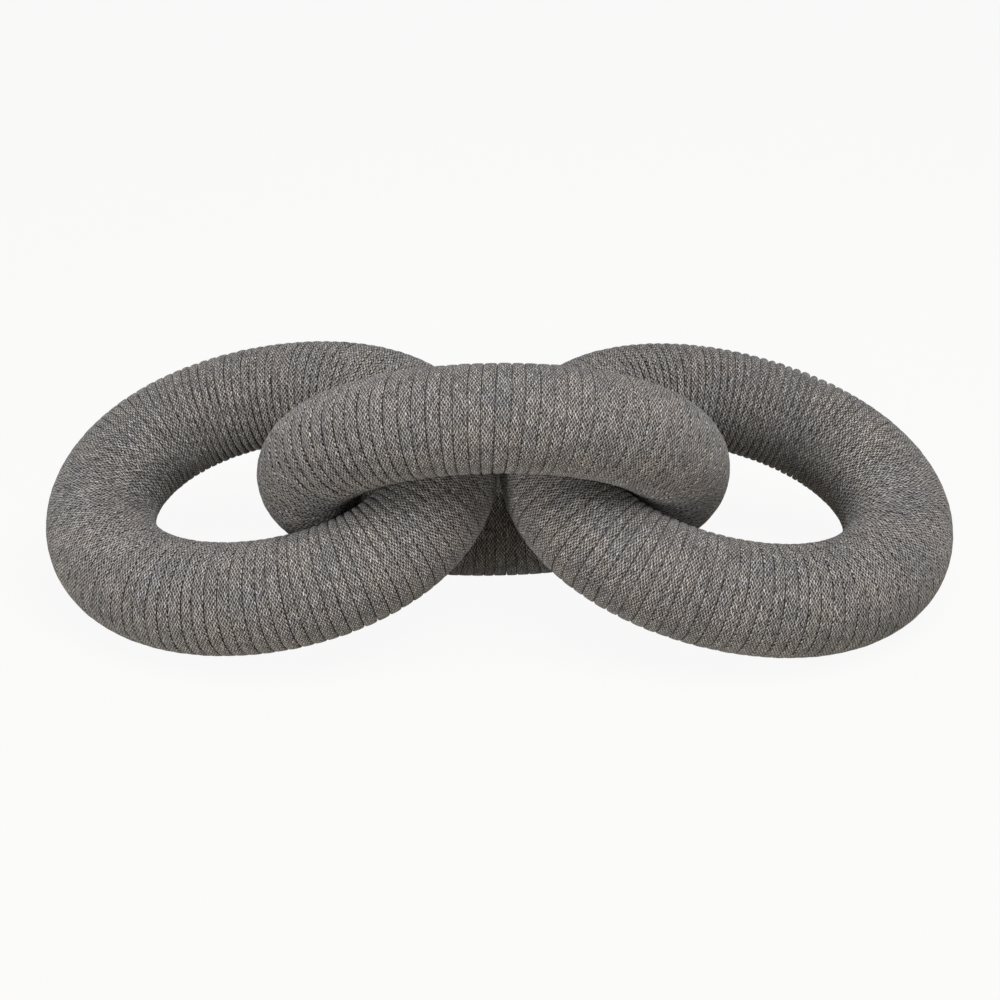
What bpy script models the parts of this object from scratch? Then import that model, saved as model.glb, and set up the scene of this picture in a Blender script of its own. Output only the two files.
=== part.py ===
"""Rope link sculpture: three oval chain links threaded through one another, lying in a row.

Each link is a round bar bent into a closed oval. A rigid core in two halves, pinned by two dowels,
is wound all over with a flat braided cord, laid on in eight lengths that butt end to end.
Metres, +Z up. The origin is on the table under the middle of the row, and -Y is the front.
"""

import math

import bmesh
import bpy
import numpy as np
from mathutils import Euler, Matrix, Vector

# The oval of a link, on the bar's centreline
LINK_HALF_LENGTH = 0.1145
LINK_HALF_WIDTH = 0.0791
SHOULDER_FULLNESS = 0.0097  # how far the shoulders swell past an ellipse, as a share of its radius

# The bar and the cord wound on it
BAR_RADIUS = 0.0331  # over the cord
END_FULLNESS = 0.0018  # how much thicker an outer link's bar is at its free end, where no link presses it
NEAR_FULLNESS = 0.0011  # how much thicker an outer link's bar is on its near side, and thinner on its far side
CORD_THICKNESS = 0.006
CORD_CROWN = 0.78  # the flat top of the cord, as a share of its width
TURN_GAP = 0.0009  # between one turn and the next, at the foot of the groove
LENGTHS_PER_LINK = 8
TURNS_PER_LENGTH = 5
POINTS_PER_TURN = 8
FLAT_DEPTH = 0.1 * CORD_THICKNESS  # how far the lowest turns are pressed flat on the table

# The core and its dowels
FIT_GAP = 0.0003  # between pieces that touch
CORE_SIDES = 12
CORE_SECTIONS = 20
DOWEL_RADIUS = 0.005
DOWEL_LENGTH = 0.040
DOWEL_SIDES = 12

# Where each link lies: its place on the table, then its roll, pitch and yaw in degrees
CENTRE_LINK_AT = (-0.0033, -0.0118)
CENTRE_LINK_TURN = (-54.1, -0.7, 0.7)
LEFT_LINK_AT = (-0.1445, 0.0007)
LEFT_LINK_TURN = (25.1, -12.5, -7.4)
RIGHT_LINK_AT = (0.1440, 0.0011)
RIGHT_LINK_TURN = (21.5, 14.1, 0.2)

# Worked out from the sizes above
CORD_INNER_RADIUS = BAR_RADIUS - CORD_THICKNESS
CORE_RADIUS = CORD_INNER_RADIUS * math.cos(math.pi / POINTS_PER_TURN) - 2 * FIT_GAP
TURNS_PER_LINK = LENGTHS_PER_LINK * TURNS_PER_LENGTH
STEPS_PER_LENGTH = TURNS_PER_LENGTH * POINTS_PER_TURN
SWIVEL_REACH = LINK_HALF_LENGTH - BAR_RADIUS  # from the centre link's middle to the inside of its end
UP = Vector((0, 0, 1))


def oval(angle):
    """A point of the bar's centreline."""
    swell = 1 + SHOULDER_FULLNESS * math.sin(2 * angle) ** 2
    return Vector((LINK_HALF_LENGTH * swell * math.cos(angle), LINK_HALF_WIDTH * swell * math.sin(angle), 0))


OVAL_ANGLES = np.linspace(0, math.tau, 721)
OVAL_POINTS = np.array([oval(angle) for angle in OVAL_ANGLES])
OVAL_LENGTHS = np.append(0, np.cumsum(np.linalg.norm(np.diff(OVAL_POINTS, axis=0), axis=1)))
OVAL_SHARES = OVAL_LENGTHS / OVAL_LENGTHS[-1]


def oval_frame(share):
    """The oval's angle at a share of its length, the centreline's point and the outward direction there."""
    angle = float(np.interp(share % 1, OVAL_SHARES, OVAL_ANGLES))
    along = oval(angle + 0.001) - oval(angle - 0.001)
    return angle, oval(angle), along.cross(UP).normalized()


def bar_point(share, angle, radius, free_end):
    """A point at a radius round the bar: angle 0 is the oval's outside, 90 degrees is the link's top.

    An outer link's bar is fuller towards its free end, 1 for +X and -1 for -X, and on its near side.
    The centre link's free end is 0, and its bar is even.
    """
    oval_angle, middle, outward = oval_frame(share)
    if free_end:
        radius += END_FULLNESS * (1 + free_end * math.cos(oval_angle)) / 2
        radius -= NEAR_FULLNESS * math.sin(oval_angle)
    return middle + radius * (math.cos(angle) * outward + math.sin(angle) * UP)


def cord_ring(step, start_angle, free_end):
    """The four corners of the flattened cord at one step of its winding: its crown, then its foot on the core."""
    share = step / (TURNS_PER_LINK * POINTS_PER_TURN)
    angle = start_angle + step * math.tau / POINTS_PER_TURN
    half_turn = 0.5 / TURNS_PER_LINK
    before = bar_point(share - half_turn, angle, CORD_INNER_RADIUS, free_end)
    after = bar_point(share + half_turn, angle, CORD_INNER_RADIUS, free_end)
    half_foot = half_turn * (1 - TURN_GAP / (after - before).length)
    half_crown = half_foot * CORD_CROWN
    return [
        bar_point(share - half_crown, angle, BAR_RADIUS, free_end),
        bar_point(share + half_crown, angle, BAR_RADIUS, free_end),
        bar_point(share + half_foot, angle, CORD_INNER_RADIUS, free_end),
        bar_point(share - half_foot, angle, CORD_INNER_RADIUS, free_end),
    ]


def cord_rings(length_index, start_angle, free_end):
    """The sections of one length of cord, drawn back at both ends so that it clears the next length."""
    first = length_index * STEPS_PER_LENGTH
    rings = [cord_ring(first + step, start_angle, free_end) for step in range(STEPS_PER_LENGTH + 1)]
    for end, inner in ((0, 1), (-1, -2)):
        back = (rings[inner][0] - rings[end][0]).normalized() * FIT_GAP
        rings[end] = [corner + back for corner in rings[end]]
    return rings


def least_gap(rings):
    """The least distance between one turn of a length of cord and the next, on corners and edge middles."""
    gaps = []
    for step in range(len(rings) - POINTS_PER_TURN - 1):
        for left, right in ((1, 0), (2, 3)):
            near = [rings[step][left], rings[step + 1][left]]
            far = [rings[step + POINTS_PER_TURN][right], rings[step + POINTS_PER_TURN + 1][right]]
            gaps.append((near[0] - far[0]).length)
            gaps.append((near[0] + near[1] - far[0] - far[1]).length / 2)
    return min(gaps)


def core_rings(half, free_end):
    """The round sections of one core half, from one split to the other: half 0 is the link's +X end."""
    trim = 0.5 * FIT_GAP / OVAL_LENGTHS[-1]
    start = -0.25 + 0.5 * half
    rings = []
    for section in range(CORE_SECTIONS + 1):
        share = start + trim + (0.5 - 2 * trim) * section / CORE_SECTIONS
        angles = [math.tau * (side + 0.5) / CORE_SIDES for side in range(CORE_SIDES)]
        rings.append([bar_point(share, angle, CORE_RADIUS, free_end) for angle in angles])
    return rings


def skin(rings):
    """A closed tube through rings of points, capped at both ends."""
    tube = bmesh.new()
    loops = [[tube.verts.new(point) for point in ring] for ring in rings]
    for before, after in zip(loops, loops[1:]):
        for corner in range(len(before)):
            following = (corner + 1) % len(before)
            tube.faces.new((before[corner], before[following], after[following], after[corner]))
    tube.faces.new(loops[0])
    tube.faces.new(loops[-1])
    bmesh.ops.recalc_face_normals(tube, faces=tube.faces)
    return tube


def press_flat(tube, placement):
    """Cut off what reaches below the table, and close the cut."""
    to_link = placement.inverted()
    cut = bmesh.ops.bisect_plane(
        tube,
        geom=tube.verts[:] + tube.edges[:] + tube.faces[:],
        dist=1e-7,
        plane_co=to_link @ Vector((0, 0, 0)),
        plane_no=to_link.to_3x3() @ UP,
        clear_inner=True,
    )
    rim = [item for item in cut["geom_cut"] if isinstance(item, bmesh.types.BMEdge)]
    if rim:
        bmesh.ops.holes_fill(tube, edges=rim, sides=0)
        bmesh.ops.recalc_face_normals(tube, faces=tube.faces)


def material(name, colour, roughness):
    """A plain matt material."""
    made = bpy.data.materials.new(name)
    made.use_nodes = True
    surface = made.node_tree.nodes["Principled BSDF"]
    surface.inputs["Base Color"].default_value = (*colour, 1)
    surface.inputs["Roughness"].default_value = roughness
    surface.inputs["Metallic"].default_value = 0
    return made


def add_object(name, tube, parent, placement, finish):
    """Make an object of a mesh in the link's own frame, under the link's empty."""
    mesh = bpy.data.meshes.new(name)
    tube.to_mesh(mesh)
    tube.free()
    mesh.shade_smooth()
    mesh.set_sharp_from_angle(angle=math.radians(40))
    mesh.materials.append(finish)
    made = bpy.data.objects.new(name, mesh)
    bpy.context.scene.collection.objects.link(made)
    made.parent = parent
    made.location = placement.translation - parent.location
    made.rotation_euler = placement.to_euler()
    return made


def dowel_tube(side, radius, length):
    """A round peg across one split of the core, on the bar's centreline."""
    peg = bmesh.new()
    across = Matrix.Translation((0, side * LINK_HALF_WIDTH, 0)) @ Matrix.Rotation(math.pi / 2, 4, "Y")
    bmesh.ops.create_cone(
        peg,
        cap_ends=True,
        segments=DOWEL_SIDES,
        radius1=radius,
        radius2=radius,
        depth=length,
        matrix=across,
    )
    return peg


def add_link(name, at, turn, swivel, free_end):
    """One link: two core halves, two dowels and eight lengths of cord, resting on the table."""
    spin = Euler([math.radians(part) for part in turn]).to_matrix()
    tilt = math.acos(spin[2][2])
    lowest_angle = tilt - math.pi / 2
    facet = math.tau / POINTS_PER_TURN
    start_angle = lowest_angle + facet * round((math.pi - lowest_angle) / facet)
    windings = [cord_rings(index, start_angle, free_end) for index in range(LENGTHS_PER_LINK)]
    lowest = min((spin @ corner).z for rings in windings for ring in rings for corner in ring)
    place = Vector((*at, -lowest - FLAT_DEPTH))
    placement = Matrix.Translation(place) @ spin.to_4x4()

    link = bpy.data.objects.new(name, None)
    link.location = (swivel[0], swivel[1], place.z)
    bpy.context.scene.collection.objects.link(link)

    cutters = []
    for side, word in ((-1, "near"), (1, "far")):
        add_object(f"{name}_{word}_dowel", dowel_tube(side, DOWEL_RADIUS, DOWEL_LENGTH), link, placement, BEECH)
        bore = dowel_tube(side, DOWEL_RADIUS + FIT_GAP, DOWEL_LENGTH + 2 * FIT_GAP)
        cutter = add_object(f"{name}_{word}_bore", bore, link, placement, BEECH)
        cutter.hide_render = True
        cutter.display_type = "WIRE"
        cutters.append(cutter)
    for half, word in enumerate(("right", "left")):
        core = add_object(f"{name}_{word}_core", skin(core_rings(half, free_end)), link, placement, PINE)
        for cutter in cutters:
            bore = core.modifiers.new(cutter.name, "BOOLEAN")
            bore.object = cutter
    for index, rings in enumerate(windings):
        tube = skin(rings)
        press_flat(tube, placement)
        add_object(f"{name}_cord_{index + 1}", tube, link, placement, CORD)
        print(f"{name}_cord_{index + 1}: least gap to itself {1000 * least_gap(rings):.2f} mm")


for leftover in list(bpy.data.objects):
    bpy.data.objects.remove(leftover)

CORD = material("heather grey braided cord", (0.150, 0.142, 0.134), 0.9)
PINE = material("pine core", (0.55, 0.38, 0.21), 0.7)
BEECH = material("beech dowel", (0.60, 0.42, 0.26), 0.6)

left_swivel = (CENTRE_LINK_AT[0] - SWIVEL_REACH, CENTRE_LINK_AT[1])
right_swivel = (CENTRE_LINK_AT[0] + SWIVEL_REACH, CENTRE_LINK_AT[1])
add_link("centre_link", CENTRE_LINK_AT, CENTRE_LINK_TURN, CENTRE_LINK_AT, 0)
add_link("left_link", LEFT_LINK_AT, LEFT_LINK_TURN, left_swivel, -1)
add_link("right_link", RIGHT_LINK_AT, RIGHT_LINK_TURN, right_swivel, 1)
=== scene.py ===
import math

import bpy
import numpy as np
from mathutils import Euler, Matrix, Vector


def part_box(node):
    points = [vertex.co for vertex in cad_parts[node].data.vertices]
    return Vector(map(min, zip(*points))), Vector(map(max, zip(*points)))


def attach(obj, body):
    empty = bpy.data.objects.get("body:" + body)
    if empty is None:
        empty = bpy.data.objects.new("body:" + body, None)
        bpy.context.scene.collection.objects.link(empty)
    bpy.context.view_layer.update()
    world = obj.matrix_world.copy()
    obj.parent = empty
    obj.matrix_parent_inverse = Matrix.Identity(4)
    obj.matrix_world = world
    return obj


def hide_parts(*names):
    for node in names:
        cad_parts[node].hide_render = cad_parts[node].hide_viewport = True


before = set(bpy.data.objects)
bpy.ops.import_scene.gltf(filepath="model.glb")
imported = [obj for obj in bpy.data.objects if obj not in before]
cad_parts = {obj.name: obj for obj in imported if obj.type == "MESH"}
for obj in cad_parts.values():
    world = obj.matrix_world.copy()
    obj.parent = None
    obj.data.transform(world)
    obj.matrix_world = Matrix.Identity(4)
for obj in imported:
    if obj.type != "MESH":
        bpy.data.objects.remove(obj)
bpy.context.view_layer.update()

# The core halves: inside each link is a rigid pine bar, sawn to two U shapes, rounded and sanded.
# The halves close round the next link and are glued together. The cord hides them.


def linear(hex_colour):
    """An sRGB hex colour as linear red, green, blue and alpha."""
    parts = [int(hex_colour[start:start + 2], 16) / 255 for start in (1, 3, 5)]
    return [part / 12.92 if part <= 0.04045 else ((part + 0.055) / 1.055) ** 2.4 for part in parts] + [1]


def add(tree, kind, settings, links):
    """Add a node: its settings by name, then its inputs as plain values or as other nodes' outputs."""
    node = tree.nodes.new(kind)
    for name, value in settings.items():
        setattr(node, name, value)
    for socket, value in links.items():
        if isinstance(value, bpy.types.NodeSocket):
            tree.links.new(value, node.inputs[socket])
        else:
            node.inputs[socket].default_value = value
    return node


def blank_material(name):
    """A new material with only its output, and the output's surface input."""
    made = bpy.data.materials.new(name)
    made.use_nodes = True
    made.node_tree.nodes.clear()
    output = made.node_tree.nodes.new("ShaderNodeOutputMaterial")
    return made, made.node_tree, output.inputs["Surface"]


# Sanded softwood: matt, with pale earlywood and darker latewood in lines 3 mm apart, and fine pores,
# all drawn out along the grain. A wave texture's lines are tau / 20 apart at a scale of 1.
PINE_LINE_MM = 3.0
PINE_PORE_MM = 1.111
PINE_ALONG_GRAIN = 0.15
PINE_PORE_SHARE = 0.3
PINE_EARLY = "#D9BD92"
PINE_LATE = "#B58A57"
pine, tree, surface = blank_material("sanded pine")
place = add(tree, "ShaderNodeTexCoord", {}, {}).outputs["Object"]
along_grain = add(tree, "ShaderNodeMapping", {},
                  {"Vector": place, "Scale": (PINE_ALONG_GRAIN, 1, 1)}).outputs[0]
rings = add(tree, "ShaderNodeTexWave", {"bands_direction": "Y"},
            {"Vector": along_grain, "Scale": 1000 / PINE_LINE_MM * math.tau / 20,
             "Distortion": 3.0, "Detail": 3.0}).outputs["Fac"]
pores = add(tree, "ShaderNodeTexNoise", {},
            {"Vector": along_grain, "Scale": 1000 / PINE_PORE_MM, "Detail": 2.0}).outputs["Fac"]
grain = add(tree, "ShaderNodeMix", {"data_type": "FLOAT"},
            {0: PINE_PORE_SHARE, 2: rings, 3: pores}).outputs[0]
tone = add(tree, "ShaderNodeMix", {"data_type": "RGBA"},
           {0: grain, 6: linear(PINE_EARLY), 7: linear(PINE_LATE)}).outputs[2]
relief = add(tree, "ShaderNodeBump", {}, {"Strength": 0.2, "Distance": 0.0003, "Height": pores}).outputs[0]
wood = add(tree, "ShaderNodeBsdfPrincipled", {}, {"Base Color": tone, "Roughness": 0.7, "Normal": relief})
tree.links.new(wood.outputs[0], surface)

for node_name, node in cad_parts.items():
    if node_name.endswith("_core"):
        node.data.materials.clear()
        node.data.materials.append(pine)

# The dowels: turned beech pegs, 10 mm thick, glued in blind holes across each split of a core.
# They keep the two halves in line, and are hidden inside them.

# Turned beech: pinker than pine, smooth, with short dark flecks 1.5 mm apart and 6 mm long.
BEECH_FLECK_MM = 1.5
BEECH_ALONG_PEG = 0.25
BEECH_PALE = "#DDBE9B"
BEECH_FLECK = "#B88D66"
beech, tree, surface = blank_material("turned beech")
place = add(tree, "ShaderNodeTexCoord", {}, {}).outputs["Object"]
along_peg = add(tree, "ShaderNodeMapping", {},
                {"Vector": place, "Scale": (BEECH_ALONG_PEG, 1, 1)}).outputs[0]
flecks = add(tree, "ShaderNodeTexNoise", {},
             {"Vector": along_peg, "Scale": 1000 / BEECH_FLECK_MM, "Detail": 3.0}).outputs["Fac"]
tone = add(tree, "ShaderNodeMix", {"data_type": "RGBA"},
           {0: flecks, 6: linear(BEECH_PALE), 7: linear(BEECH_FLECK)}).outputs[2]
relief = add(tree, "ShaderNodeBump", {}, {"Strength": 0.15, "Distance": 0.0002, "Height": flecks}).outputs[0]
wood = add(tree, "ShaderNodeBsdfPrincipled", {}, {"Base Color": tone, "Roughness": 0.6, "Normal": relief})
tree.links.new(wood.outputs[0], surface)

for node_name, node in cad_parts.items():
    if node_name.endswith("_dowel"):
        node.data.materials.clear()
        node.data.materials.append(beech)

# The cord: an 8 mm flat braid of heathered grey cotton, wound turn against turn round each link
# in eight lengths that butt end to end on the side away from view. It spreads on the outside of
# a bend, is squeezed on the inside, and is pressed flat where it lies on the table.

# Heathered cotton braid: each pick is a short slanted stroke of light or mid grey yarn, a few of them
# bluish. The strokes lean left and right in turn, column by column, with painted shade in the hollows between
# them.
# They stray a little, and the yarn is cooler or warmer in patches. The picks are as coarse as the
# photograph shows them. Real fibres are too fine to show, and are drawn 0.4 mm apart.
PICK_WIDTH_MM = 1.0
PICK_PITCH_MM = 3.25
PICK_SLANT = 0.5
PICK_ROUNDNESS = 0.5
STRAY_SPAN_MM = 2.5
STRAY_MM = (1.3, 2.6, 0)
PATCH_MM = 22.0
FIBRE_MM = 0.4
FIBRE_HEIGHT = 0.3
YARN_TONES = [(0.0, "#938F88"), (0.15, "#ACACAF"), (0.3, "#BAB5AF"), (0.7, "#CCC8C3"), (1.0, "#E7E4E2")]
WARM_PATCH = "#FAF6F2"
COOL_PATCH = "#DDDFE3"
# Painted shade: the dark browns that fill the hollows between picks and the groove where two turns meet.
HOLLOW_SHADE_COLOUR = "#23180A"
GROOVE_SHADE_COLOUR = "#1C1004"
HOLLOW_SHADE_FADES = (0.28, 0.87)
PATCH_BLENDS = (0.27, 0.73)
GROOVE_SHADE_BLENDS = (0.82, 0.92)
GROOVE_SHADE_JAGGED = 0.14

cord_grey, tree, surface = blank_material("heathered grey cotton braid")
on_cord = add(tree, "ShaderNodeUVMap", {"uv_map": "braid"}, {}).outputs[0]
stray = add(tree, "ShaderNodeTexNoise", {"noise_dimensions": "2D"},
            {"Vector": on_cord, "Scale": 1 / STRAY_SPAN_MM}).outputs["Color"]
stray = add(tree, "ShaderNodeVectorMath", {"operation": "SUBTRACT"},
            {0: stray, 1: (0.5, 0.5, 0.5)}).outputs[0]
on_cord = add(tree, "ShaderNodeVectorMath", {"operation": "MULTIPLY_ADD"},
              {0: stray, 1: STRAY_MM, 2: on_cord}).outputs[0]
across_along = add(tree, "ShaderNodeSeparateXYZ", {}, {0: on_cord})

# The columns lie side by side across the cord, and every other one leans the other way.
columns = add(tree, "ShaderNodeMath", {"operation": "DIVIDE"},
              {0: across_along.outputs[0], 1: PICK_WIDTH_MM}).outputs[0]
column = add(tree, "ShaderNodeMath", {"operation": "FLOOR"}, {0: columns}).outputs[0]
in_column = add(tree, "ShaderNodeMath", {"operation": "FRACT"}, {0: columns}).outputs[0]
leans_right = add(tree, "ShaderNodeMath", {"operation": "FLOORED_MODULO"}, {0: column, 1: 2.0}).outputs[0]
lean = add(tree, "ShaderNodeMapRange", {}, {0: leans_right, 3: -PICK_SLANT, 4: PICK_SLANT}).outputs[0]
staggered = add(tree, "ShaderNodeMath", {"operation": "MULTIPLY"}, {0: leans_right, 1: 0.5}).outputs[0]
off_middle = add(tree, "ShaderNodeMath", {"operation": "SUBTRACT"}, {0: in_column, 1: 0.5}).outputs[0]
slanted = add(tree, "ShaderNodeMath", {"operation": "MULTIPLY_ADD"},
              {0: lean, 1: off_middle, 2: staggered}).outputs[0]

# The picks follow one another along each column, and each swells in its middle.
picks = add(tree, "ShaderNodeMath", {"operation": "MULTIPLY_ADD"},
            {0: across_along.outputs[1], 1: 1 / PICK_PITCH_MM, 2: slanted}).outputs[0]
pick = add(tree, "ShaderNodeMath", {"operation": "FLOOR"}, {0: picks}).outputs[0]
in_pick = add(tree, "ShaderNodeMath", {"operation": "FRACT"}, {0: picks}).outputs[0]
half_wave = add(tree, "ShaderNodeMath", {"operation": "MULTIPLY"}, {0: in_pick, 1: math.pi}).outputs[0]
swell_along = add(tree, "ShaderNodeMath", {"operation": "SINE"}, {0: half_wave}).outputs[0]
half_wave = add(tree, "ShaderNodeMath", {"operation": "MULTIPLY"}, {0: in_column, 1: math.pi}).outputs[0]
swell_across = add(tree, "ShaderNodeMath", {"operation": "SINE"}, {0: half_wave}).outputs[0]
swell_across = add(tree, "ShaderNodeMath", {"operation": "POWER"},
                   {0: swell_across, 1: PICK_ROUNDNESS}).outputs[0]
pick_height = add(tree, "ShaderNodeMath", {"operation": "MULTIPLY"},
                  {0: swell_along, 1: swell_across}).outputs[0]

# Each pick draws its own yarn from the heather, over painted shade in the hollows between picks.
which_pick = add(tree, "ShaderNodeCombineXYZ", {}, {0: column, 1: pick}).outputs[0]
chance = add(tree, "ShaderNodeTexWhiteNoise", {"noise_dimensions": "2D"}, {"Vector": which_pick})
yarn = add(tree, "ShaderNodeValToRGB", {}, {0: chance.outputs["Value"]})
for spot, hex_colour in YARN_TONES[1:-1]:
    yarn.color_ramp.elements.new(spot)
for stop, (spot, hex_colour) in zip(yarn.color_ramp.elements, YARN_TONES):
    stop.position = spot
    stop.color = linear(hex_colour)
# Painted shade in the hollows: where a pick sinks low, its yarn gives way to a dark brown.
out_of_hollow_shade = add(tree, "ShaderNodeMapRange", {},
              {0: pick_height, 1: HOLLOW_SHADE_FADES[0], 2: HOLLOW_SHADE_FADES[1]}).outputs[0]
braid = add(tree, "ShaderNodeMix", {"data_type": "RGBA"},
            {0: out_of_hollow_shade, 6: linear(HOLLOW_SHADE_COLOUR), 7: yarn.outputs[0]}).outputs[2]

# Warmer and cooler patches, then painted shade in the groove where two turns meet, jagged by the picks.
place = add(tree, "ShaderNodeTexCoord", {}, {}).outputs["Object"]
patches = add(tree, "ShaderNodeTexNoise", {},
              {"Vector": place, "Scale": 1000 / PATCH_MM, "Detail": 2.0}).outputs["Fac"]
patches = add(tree, "ShaderNodeMapRange", {},
              {0: patches, 1: PATCH_BLENDS[0], 2: PATCH_BLENDS[1]}).outputs[0]
cast = add(tree, "ShaderNodeMix", {"data_type": "RGBA"},
           {0: patches, 6: linear(WARM_PATCH), 7: linear(COOL_PATCH)}).outputs[2]
braid = add(tree, "ShaderNodeMix", {"data_type": "RGBA", "blend_type": "MULTIPLY"},
            {0: 1.0, 6: braid, 7: cast}).outputs[2]
groove_shade_flank = add(tree, "ShaderNodeAttribute", {"attribute_name": "groove_shade_flank"}, {}).outputs["Fac"]
jagged = add(tree, "ShaderNodeMath", {"operation": "MULTIPLY_ADD"},
             {0: pick_height, 1: -GROOVE_SHADE_JAGGED, 2: groove_shade_flank}).outputs[0]
groove = add(tree, "ShaderNodeMapRange", {},
             {0: jagged, 1: GROOVE_SHADE_BLENDS[0], 2: GROOVE_SHADE_BLENDS[1]}).outputs[0]
braid = add(tree, "ShaderNodeMix", {"data_type": "RGBA"},
            {0: groove, 6: braid, 7: linear(GROOVE_SHADE_COLOUR)}).outputs[2]
fibres = add(tree, "ShaderNodeTexNoise", {},
             {"Vector": place, "Scale": 1000 / FIBRE_MM, "Detail": 2.0}).outputs["Fac"]
height = add(tree, "ShaderNodeMath", {"operation": "MULTIPLY_ADD"},
             {0: fibres, 1: FIBRE_HEIGHT, 2: pick_height}).outputs[0]
relief = add(tree, "ShaderNodeBump", {}, {"Strength": 0.7, "Distance": 0.0004, "Height": height}).outputs[0]
cotton = add(tree, "ShaderNodeBsdfPrincipled", {},
             {"Base Color": braid, "Roughness": 0.9, "Specular IOR Level": 0.25, "Sheen Weight": 0.15,
              "Sheen Roughness": 0.5, "Normal": relief})
tree.links.new(cotton.outputs[0], surface)

# The oval that the middle of each bar follows, and the bar's thickness over the cord, in metres.
# An outer link's bar is fuller at its free end and on its near side.
LINK_HALF_LENGTH = 0.1145
LINK_HALF_WIDTH = 0.0791
SHOULDER_FULLNESS = 0.0097
OVAL_STEPS = 2880
BAR_RADIUS = 0.0332
END_FULLNESS = 0.0018
NEAR_FULLNESS = 0.0011

# Where each link lies: its place in metres, and its roll, pitch and yaw in degrees. Its free end is
# 1 at +X, -1 at -X and 0 for the centre link, which has none. The winding starts at an angle round
# the bar, away from view. The left link's inner end swells a little where it touches the right link.
# Each link has eight lengths of cord, and the photograph shows closer turns on the far bars.
CORD_LENGTHS = 8
LINKS = {
    "centre_link": {"at": (-0.0033, -0.0118), "turned": (-54.1, -0.7, 0.7), "free_end": 0, "start": 90,
                    "swelling": 0, "seed": 2, "turns": (13, 11, 11, 13, 13, 11, 11, 13)},
    "left_link": {"at": (-0.1445, 0.0007), "turned": (25.1, -12.5, -7.4), "free_end": -1, "start": -90,
                  "swelling": 0.0008, "seed": 7, "turns": (14, 14, 14, 14, 13, 11, 11, 13)},
    "right_link": {"at": (0.1440, 0.0011), "turned": (21.5, 14.1, 0.2), "free_end": 1, "start": -90,
                   "swelling": 0, "seed": 12, "turns": (15, 15, 15, 14, 13, 11, 11, 13)},
}

# The cord's thickness, and the distance from the bar's middle at which its turns are evenly spaced.
# Turns wander by part of their width and rise or sink a little, as the hand lays them, and the braid
# is shifted along the cord from link to link, so that no two links look alike.
CORD_THICKNESS = 0.0066
WOUND_AT = 0.0318
BUTT_GAP = 0.0002
TURN_WANDER = 0.15
WANDER_RATES = (0.11, 0.37, 0.61, 0.985, 1.13)
TURN_RISE = 0.00015
RISE_RATES = (0.29, 0.53, 0.97)
STEPS_PER_TURN = 72
SECTION_POINTS = 16
BRAID_SHIFT = 0.061

# The cord's section is a rounded oblong: 2 is an ellipse, and higher is squarer. It is squarer where
# the cord is spread wide (half widths in metres), packed round a free end or pressed on a neighbour,
# and rounder where its turns are loose. The painted shade in the groove beside it narrows or widens with
# that.
SPREAD = (0.0025, 0.004)
SQUARENESS = (3.2, 4.6)
PACKED_SQUARENESS = 4.0
PRESSED_SQUARENESS = 6.0
LOOSE_ROUNDNESS = 1.4
LEAST_SQUARENESS = 2.0
PACKED_GROOVE_SHADE = -0.03
LOOSE_GROOVE_SHADE = 0.02

# Where the turns are packed, pressed or loose, from where it starts to where it is full, on the
# cosine or sine of the angle round the oval. On the centre link it stops short of full.
OUTER_PACKED = (0.4, 0.9)
OUTER_PRESSED = (0.7, 0.95)
OUTER_LOOSE = (0.0, 0.625)
CENTRE_PACKED = (1 / 12, 11 / 12)
CENTRE_PRESSED = (0.3, 0.8)
CENTRE_LOOSE = (0.25, 0.875)
CENTRE_MOST_PACKED = 0.7
CENTRE_MOST_PRESSED = 0.4

# The swelling where the outer links touch: its reach along the bar, as a sine of the angle round the
# oval, then how far below the bar's outer side it lies, and its reach round the bar.
TOUCH_SPAN = 0.05
TOUCH_BELOW = math.radians(25)
TOUCH_ROUND = math.radians(60)

oval_angles = np.linspace(0, math.tau, OVAL_STEPS + 1)
shoulders = 1 + SHOULDER_FULLNESS * np.sin(2 * oval_angles) ** 2
oval_points = np.stack([LINK_HALF_LENGTH * shoulders * np.cos(oval_angles),
                        LINK_HALF_WIDTH * shoulders * np.sin(oval_angles)], axis=1)
oval_lengths = np.append(0, np.cumsum(np.linalg.norm(np.diff(oval_points, axis=0), axis=1)))
oval_shares = oval_lengths / oval_lengths[-1]
oval_along = np.gradient(oval_points, axis=0)
oval_along /= np.linalg.norm(oval_along, axis=1)[:, None]
oval_outward = np.stack([oval_along[:, 1], -oval_along[:, 0]], axis=1)
wound_points = oval_points + WOUND_AT * oval_outward
wound_lengths = np.append(0, np.cumsum(np.linalg.norm(np.diff(wound_points, axis=0), axis=1)))
length_marks = np.interp(np.arange(CORD_LENGTHS + 1) / CORD_LENGTHS, oval_shares, wound_lengths)
section_angles = np.arange(SECTION_POINTS) * math.tau / SECTION_POINTS


def bar_points(shares, angles, radii, free_end):
    """Points round the bar: shares of the way round the oval, angles round the bar, radii from its middle."""
    shares = shares % 1
    oval_angle = np.interp(shares, oval_shares, oval_angles)
    if free_end:
        radii = radii + END_FULLNESS * (1 + free_end * np.cos(oval_angle)) / 2
        radii = radii - NEAR_FULLNESS * np.sin(oval_angle)
    middle_x = np.interp(shares, oval_shares, oval_points[:, 0])
    middle_y = np.interp(shares, oval_shares, oval_points[:, 1])
    outward_x = np.interp(shares, oval_shares, oval_outward[:, 0])
    outward_y = np.interp(shares, oval_shares, oval_outward[:, 1])
    out = radii * np.cos(angles)
    up = radii * np.sin(angles)
    return np.stack([middle_x + out * outward_x, middle_y + out * outward_y, up], axis=-1)


def uneven(turns, seed, rates):
    """A smooth wander between -1 and 1 along the winding, as the hand lays the cord."""
    waves = [np.sin(math.tau * rate * turns + seed * (3 + order)) for order, rate in enumerate(rates)]
    return sum(waves) / len(rates)


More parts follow.
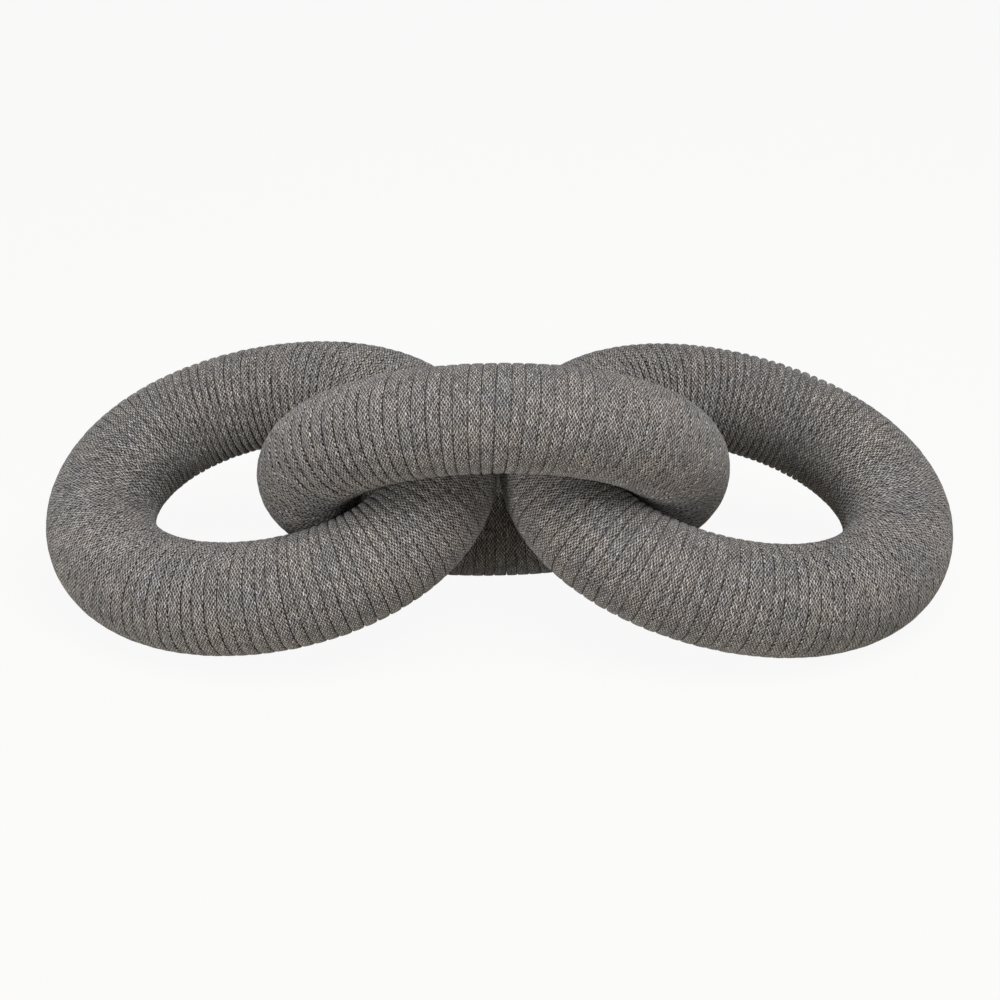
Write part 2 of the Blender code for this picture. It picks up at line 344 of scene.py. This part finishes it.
def turn_edge(turns, turn_marks, seed):
    """The share of the way round the oval that the winding has reached after so many turns."""
    turns = turns + TURN_WANDER * uneven(turns, seed, WANDER_RATES)
    whole, rest = np.divmod(turns, turn_marks[-1])
    return whole + np.interp(np.interp(rest, turn_marks, length_marks), wound_lengths, oval_shares)


def ramp(value, limits):
    """0 before the first limit, 1 after the second, and even between them."""
    return np.clip((value - limits[0]) / (limits[1] - limits[0]), 0, 1)


def rounded_oblong(part, squareness):
    """A sine or cosine drawn out to the sides of a rounded oblong."""
    return np.sign(part) * np.abs(part) ** (2 / squareness)


def cord_length(name, index, link, turn_marks, spin, middle):
    """One length of cord wound on a link, as a closed tube with braid coordinates in millimetres."""
    free_end = link["free_end"]
    seed = link["seed"]
    steps = link["turns"][index] * STEPS_PER_TURN
    turns = np.linspace(turn_marks[index], turn_marks[index + 1], steps + 1)
    butt = BUTT_GAP / (math.tau * BAR_RADIUS)
    turns[0] += butt
    turns[-1] -= butt
    turns = turns[:, None]
    angles = math.radians(link["start"]) + math.tau * turns
    before = turn_edge(turns - 0.5, turn_marks, seed)
    after = turn_edge(turns + 0.5, turn_marks, seed)

    # How the turns lie here. On the inside of the bend they are never loose.
    oval_angle = np.interp(turn_edge(turns, turn_marks, seed) % 1, oval_shares, oval_angles)
    along_link = np.cos(oval_angle)
    to_far_side = np.sin(oval_angle)
    if free_end:
        packed = ramp(free_end * along_link, OUTER_PACKED)
        pressed = ramp(-free_end * along_link, OUTER_PRESSED)
        loose = ramp(to_far_side, OUTER_LOOSE)
    else:
        packed = np.minimum(ramp(along_link, CENTRE_PACKED), CENTRE_MOST_PACKED)
        pressed = np.minimum(ramp(to_far_side, CENTRE_PRESSED), CENTRE_MOST_PRESSED)
        loose = ramp(-along_link, CENTRE_LOOSE)
    loose = loose * (1 - packed) * (1 - pressed) * np.clip(1 + np.cos(angles), 0, 1)

    # The outside of the cord, with the swelling where the outer links touch
    outer = BAR_RADIUS - TURN_RISE * (1 + uneven(turns, seed + 1, RISE_RATES) * (1 - pressed))
    off_touch = np.remainder(angles + TOUCH_BELOW + math.pi, math.tau) - math.pi
    swells = np.cos(np.clip(off_touch / TOUCH_ROUND, -1, 1) * math.pi / 2)
    at_touch = np.exp(-(to_far_side / TOUCH_SPAN) ** 2) * (free_end * along_link < 0)
    outer = outer + link["swelling"] * at_touch * swells

    # The cord's section at each step, from its left edge to its right
    left = bar_points(before, angles, outer, free_end)
    right = bar_points(after, angles, outer, free_end)
    half_width = np.linalg.norm(right - left, axis=-1) / 2
    squareness = np.interp(half_width, SPREAD, SQUARENESS) - LOOSE_ROUNDNESS * loose
    squareness = squareness + PACKED_SQUARENESS * packed + PRESSED_SQUARENESS * pressed
    squareness = np.maximum(squareness, LEAST_SQUARENESS)
    section_across = rounded_oblong(np.cos(section_angles), squareness)
    section_out = rounded_oblong(np.sin(section_angles), squareness)
    shares = before + (after - before) * (1 + section_across) / 2
    radii = outer - CORD_THICKNESS * (1 - section_out) / 2
    points = bar_points(shares, angles + 0 * shares, radii, free_end) @ spin.T + middle
    points[..., 2] = np.maximum(points[..., 2], 0)

    count = SECTION_POINTS
    rows = np.arange(steps)[:, None] * count
    corner = np.arange(count)[None, :]
    following = (corner + 1) % count
    faces = np.stack([rows + corner, rows + count + corner,
                      rows + count + following, rows + following], axis=-1)
    caps = [list(range(count)), list(range(steps * count + count - 1, steps * count - 1, -1))]
    mesh = bpy.data.meshes.new(name)
    mesh.from_pydata(points.reshape(-1, 3), [], faces.reshape(-1, 4).tolist() + caps)

    along = BAR_RADIUS * math.tau * turns + BRAID_SHIFT * seed
    braid_uv = 1000 * np.stack([section_across * half_width, along + 0 * shares], axis=-1)
    corners = np.empty(len(mesh.loops), dtype=np.int32)
    mesh.loops.foreach_get("vertex_index", corners)
    layer = mesh.uv_layers.new(name="braid")
    layer.uv.foreach_set("vector", braid_uv.reshape(-1, 2)[corners].ravel())
    # How far across its section each point lies, and 1 all over its side against the bar. This sets where the
    # groove's painted shade falls: narrower where the turns are packed, wider where they are loose.
    to_edge = np.where(section_out >= 0, np.abs(section_across), 1.0)
    to_edge = to_edge * (1 + PACKED_GROOVE_SHADE * packed + LOOSE_GROOVE_SHADE * loose)
    mesh.attributes.new("groove_shade_flank", "FLOAT", "POINT").data.foreach_set("value", to_edge.ravel())
    mesh.shade_smooth()
    mesh.materials.append(cord_grey)
    made = bpy.data.objects.new(name, mesh)
    bpy.context.scene.collection.objects.link(made)
    return made


for link_name, link in LINKS.items():
    spin = np.array(Euler([math.radians(part) for part in link["turned"]]).to_matrix())
    dowels = [np.array(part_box(f"{link_name}_{side}_dowel")) for side in ("near", "far")]
    height = float(np.mean(dowels, axis=(0, 1))[2])
    middle = np.array([*link["at"], height])
    turn_marks = np.append(0, np.cumsum(link["turns"]))
    for index in range(CORD_LENGTHS):
        cord = cord_length(f"{link_name}_braid_{index + 1}", index, link, turn_marks, spin, middle)
        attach(cord, link_name)
        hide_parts(f"{link_name}_cord_{index + 1}")

# The floor: a plain table top of warm white laminate, which shows white to the eye.
# A small share of what is seen is lit, so the object's soft shadow stays on it.


def seen_directly(tree):
    """1 for what the eye sees, also in a mirror or through glass, and 0 for light that falls on things."""
    rays = add(tree, "ShaderNodeLightPath", {}, {}).outputs
    mirrored = add(tree, "ShaderNodeMath", {"operation": "MAXIMUM"},
                   {0: rays["Is Glossy Ray"], 1: rays["Is Transmission Ray"]}).outputs[0]
    return add(tree, "ShaderNodeMath", {"operation": "MAXIMUM"},
               {0: rays["Is Camera Ray"], 1: mirrored}).outputs[0]


# Matt laminate: an even, warm pale grey that throws some light back up.
FLOOR_SIZE = 8
FLOOR_COLOUR = "#C0BAAB"
FLOOR_SHOWN_WHITE = 0.93
bpy.ops.object.select_all(action="DESELECT")
bpy.ops.mesh.primitive_plane_add(size=FLOOR_SIZE, location=(0, 0, 0))
floor = bpy.context.object
floor.name = "floor"
laminate, tree, surface = blank_material("matt white laminate")
pale = add(tree, "ShaderNodeBsdfDiffuse", {}, {"Color": linear(FLOOR_COLOUR)}).outputs[0]
glow = add(tree, "ShaderNodeEmission", {}, {"Color": (1, 1, 1, 1), "Strength": 1.0}).outputs[0]
share_white = add(tree, "ShaderNodeMath", {"operation": "MULTIPLY"},
                  {0: seen_directly(tree), 1: FLOOR_SHOWN_WHITE}).outputs[0]
shown = add(tree, "ShaderNodeMixShader", {}, {0: share_white, 1: pale, 2: glow}).outputs[0]
tree.links.new(shown, surface)
floor.data.materials.append(laminate)

# The light: a white studio, with one large round lamp above and a little in front, and two smaller
# ones low at the front, the left one brighter. Each lamp has its place, its width in metres and its watts.
ROOM_LIGHT = 0.1
ROOM_SHOWN = 1.0
LAMP_COLOUR = (0.99, 1.0, 1.02)
LAMP_AIM = Vector((0, 0, 0.08))
LAMPS = {
    "overhead": ((0.4, -0.5, 1.9), 1.4, 35),
    "left": ((-1.6, -1.4, 0.3), 0.8, 21.5),
    "right": ((1.6, -1.4, 0.3), 0.8, 6.5),
}
world = bpy.data.worlds.new("white studio")
bpy.context.scene.world = world
world.use_nodes = True
tree = world.node_tree
tree.nodes.clear()
strength = add(tree, "ShaderNodeMapRange", {},
               {0: seen_directly(tree), 3: ROOM_LIGHT, 4: ROOM_SHOWN}).outputs[0]
sky = add(tree, "ShaderNodeBackground", {}, {"Color": (1, 1, 1, 1), "Strength": strength}).outputs[0]
add(tree, "ShaderNodeOutputWorld", {}, {"Surface": sky})

for lamp_name, (lamp_at, lamp_width, lamp_watts) in LAMPS.items():
    bpy.ops.object.light_add(type="AREA", location=lamp_at)
    lamp = bpy.context.object
    lamp.name = lamp_name
    lamp.data.shape = "DISK"
    lamp.data.size = lamp_width
    lamp.data.energy = lamp_watts
    lamp.data.color = LAMP_COLOUR
    lamp.rotation_euler = (LAMP_AIM - Vector(lamp_at)).to_track_quat("-Z", "Y").to_euler()

# The camera: in front of the row's middle and about 30 degrees above it, as in the photograph.
# Its long lens keeps the near and far bars much alike in size.
CAMERA_AIM = Vector((0.0007, 0.0555, 0.0396))
CAMERA_DISTANCE = 1.6277
CAMERA_ELEVATION = math.radians(29.74)
LENS_MM = 88.79
back = Vector((0, -math.cos(CAMERA_ELEVATION), math.sin(CAMERA_ELEVATION)))
bpy.ops.object.camera_add(location=CAMERA_AIM + CAMERA_DISTANCE * back)
camera = bpy.context.object
camera.rotation_euler = (math.pi / 2 - CAMERA_ELEVATION, 0, 0)
camera.data.lens = LENS_MM
bpy.context.scene.camera = camera
bpy.context.scene.view_settings.view_transform = "Standard"
